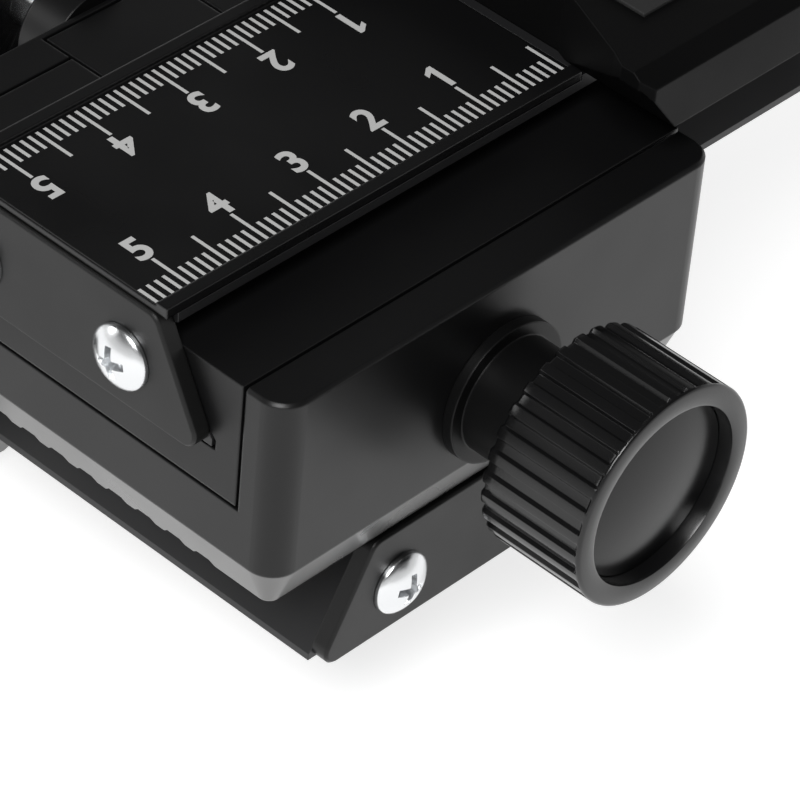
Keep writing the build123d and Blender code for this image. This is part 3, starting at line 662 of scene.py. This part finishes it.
screw_source = bpy.data.objects.new("screw_source", screw_mesh)
scene.collection.objects.link(screw_source)
CAP_SCREW_Z = -7.5
FRONT_CAP_FACE, BACK_CAP_FACE = -55.0, 60.8
HEAD_GAP = 0.02
ENDS = {"front": (FRONT_CAP_FACE - HEAD_GAP, pi / 2), "back": (BACK_CAP_FACE + HEAD_GAP, -pi / 2)}
for stage, (place, body) in STAGES.items():
    for end, (face_y, lean) in ENDS.items():
        mesh = grow(pair, {"Screw": screw_source, "Zinc": looks["screw_zinc"], "Lean": lean})
        soften(mesh, 32)
        spot = place @ Matrix.Translation(Vector((0, face_y, CAP_SCREW_Z)) * MM)
        name = stage + "_cap_screws_" + end
        piece = place_piece(name + "_turned", mesh, spot, body)
        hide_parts(name)
        print(name, "faces", len(mesh.polygons))
bpy.data.objects.remove(screw_source)

# %% [markdown]
# ## Fluted knobs
# A fluted knob is one turned shape whose skin follows a rule: the radius rises and falls with the
# angle. So the blank is spun like any turned part, with its smooth front rim and its recess, and a
# tree then pushes the skin inwards. The push is a cosine, stretched and cut off at both ends, so
# ribs and grooves both come out flat. It fades out just before the rim, which stays a smooth band.
# Number and depth of the flutes are inputs.

# %% Flute tree
flutes, given, result = shape_tree("knob_flutes", [
    ("Blank", "NodeSocketObject", None), ("Flutes", "NodeSocketFloat", 30.0),
    ("Depth", "NodeSocketFloat", 0.45 * MM), ("Radius", "NodeSocketFloat", 11.7 * MM),
    ("End", "NodeSocketFloat", 12.05 * MM), ("Fade", "NodeSocketFloat", 0.3 * MM),
    ("Steepness", "NodeSocketFloat", 1.5), ("Skin", "NodeSocketFloat", 0.7 * MM),
    ("Finish", "NodeSocketMaterial", None)])
source = add(flutes, "GeometryNodeObjectInfo")
join(flutes, given.outputs["Blank"], source.inputs["Object"])
where = add(flutes, "ShaderNodeSeparateXYZ")
join(flutes, add(flutes, "GeometryNodeInputPosition").outputs[0], where.inputs[0])
x, y, z = where.outputs
angle = math_node(flutes, "ARCTAN2", y, x)
y_squared = math_node(flutes, "MULTIPLY", y, y)
reach = math_node(flutes, "SQRT", math_node(flutes, "MULTIPLY_ADD", x, x, y_squared))
wave = math_node(flutes, "COSINE", math_node(flutes, "MULTIPLY", angle, given.outputs["Flutes"]))
slope = math_node(flutes, "MULTIPLY", given.outputs["Steepness"], -1.0)
dip = math_node(flutes, "MULTIPLY_ADD", wave, slope, 0.5, clamp=True)
inner = math_node(flutes, "SUBTRACT", given.outputs["Radius"], given.outputs["Skin"])
outside = math_node(flutes, "GREATER_THAN", reach, inner)
left = math_node(flutes, "SUBTRACT", given.outputs["End"], z)
falling = math_node(flutes, "DIVIDE", left, given.outputs["Fade"], clamp=True)
band = math_node(flutes, "MULTIPLY", falling, outside)
depth = math_node(flutes, "MULTIPLY", dip, given.outputs["Depth"])
push = math_node(flutes, "MULTIPLY", depth, band)
share = math_node(flutes, "DIVIDE", math_node(flutes, "MULTIPLY", push, -1.0), reach)
move = add(flutes, "ShaderNodeCombineXYZ")
join(flutes, math_node(flutes, "MULTIPLY", x, share), move.inputs["X"])
join(flutes, math_node(flutes, "MULTIPLY", y, share), move.inputs["Y"])
shift = add(flutes, "GeometryNodeSetPosition")
join(flutes, source.outputs["Geometry"], shift.inputs["Geometry"])
join(flutes, move.outputs[0], shift.inputs["Offset"])
finish_tree(flutes, shift.outputs["Geometry"], given.outputs["Finish"], result)

# %% Drive knobs and clamp knobs
DRIVE_KNOB = {"radius": 11.7, "length": 12.4, "bore_depth": 8.4, "recess_r": 9.4, "recess": 3.1}
CLAMP_KNOB = {"radius": 8.5, "length": 10.0, "bore_depth": 7.4, "recess_r": 6.6, "recess": 1.0}
KNOB_BORE = 2.55
RIM = 0.35
DRIVE_KNOB_SEAT = Vector((36.6, -23.6, -16.9))
CLAMP_KNOB_SEAT = Vector((-37.6, -22.4, -9.0))
STEPS_PER_FLUTE = 10


def rows(r, z0, z1, count):
    return [(r, z0 + (z1 - z0) * i / count) for i in range(count + 1)]


def knob_profile(radius, length, bore_depth, recess_r, recess):
    outline = [(KNOB_BORE, bore_depth), (KNOB_BORE, 0.0)]
    outline += [(radius - 0.6, 0.0), (radius - 0.3, 0.08), (radius - 0.08, 0.25)]
    outline += rows(radius, 0.45, length - 1.0, 12)
    outline += rows(radius, length - 0.75, length - RIM, 3)
    outline += [(radius - 0.05, length - 0.2), (radius - 0.17, length - 0.08)]
    outline += [(radius - 0.38, length), (recess_r + 0.4, length)]
    outline += [(recess_r + 0.1, length - 0.1), (recess_r, length - 0.4)]
    outline += [(recess_r, length - recess), (0.0, length - recess)]
    return outline + [(0.0, bore_depth), (KNOB_BORE, bore_depth)]


def make_knob(name, sizes, count, depth, place, body):
    blank = as_object("knob_blank", lathe(knob_profile(**sizes), count * STEPS_PER_FLUTE))
    mesh = grow(flutes, {"Blank": blank, "Flutes": float(count), "Depth": depth * MM,
                         "Radius": sizes["radius"] * MM, "End": (sizes["length"] - RIM) * MM,
                         "Finish": looks["knob_plastic"]})
    bpy.data.objects.remove(blank)
    soften(mesh, 50)
    piece = place_piece(name + "_fluted", mesh, place, body)
    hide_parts(name)
    print(name, "faces", len(mesh.polygons))


TURN_OUT = Matrix.Rotation(pi / 2, 4, "Y")
TURN_IN = Matrix.Rotation(-pi / 2, 4, "Y")
for stage, (place, body) in STAGES.items():
    spot = place @ Matrix.Translation(DRIVE_KNOB_SEAT * MM) @ TURN_OUT
    make_knob(stage + "_knob", DRIVE_KNOB, 30, 0.45, spot, stage + "_drive")
    spot = place @ Matrix.Translation(CLAMP_KNOB_SEAT * MM) @ TURN_IN
    make_knob(stage + "_lock_knob", CLAMP_KNOB, 24, 0.42, spot, stage + "_lock")

# %% [markdown]
# ## Knob inlay
# The disc in the knob's recess is a separate glossy moulding, slightly domed. It mirrors the room as
# a soft gradient, so its dome has to be smooth to the very middle: a spun profile gives that.

# %% Knob inlays
looks["inlay_gloss"] = plastic("inlay_gloss", (0.004, 0.004, 0.0042), 0.24, spread=0.03, bump=0.01,
                               ior=1.30)
INLAY_R, INLAY_RISE, INLAY_DEPTH = 9.36, 0.9, 1.45
INLAY_SEAT = Vector((47.3, -23.6, -16.9))
DOME_STEPS = 24

ball = (INLAY_R ** 2 + INLAY_RISE ** 2) / (2 * INLAY_RISE)
disc = []
for i in range(DOME_STEPS + 1):
    r = INLAY_R * i / DOME_STEPS
    disc.append((r, INLAY_RISE - ball + (ball ** 2 - r ** 2) ** 0.5))
disc += [(INLAY_R, -INLAY_DEPTH), (0.0, -INLAY_DEPTH)]
for stage, (place, body) in STAGES.items():
    blank = as_object("inlay", lathe(disc, 96))
    mesh = blank.data
    bpy.data.objects.remove(blank)
    mesh.materials.append(looks["inlay_gloss"])
    soften(mesh, 40)
    spot = place @ Matrix.Translation(INLAY_SEAT * MM) @ TURN_OUT
    name = stage + "_knob_inlay"
    piece = place_piece(name + "_domed", mesh, spot, stage + "_drive")
    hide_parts(name)
print("inlay radius", INLAY_R)
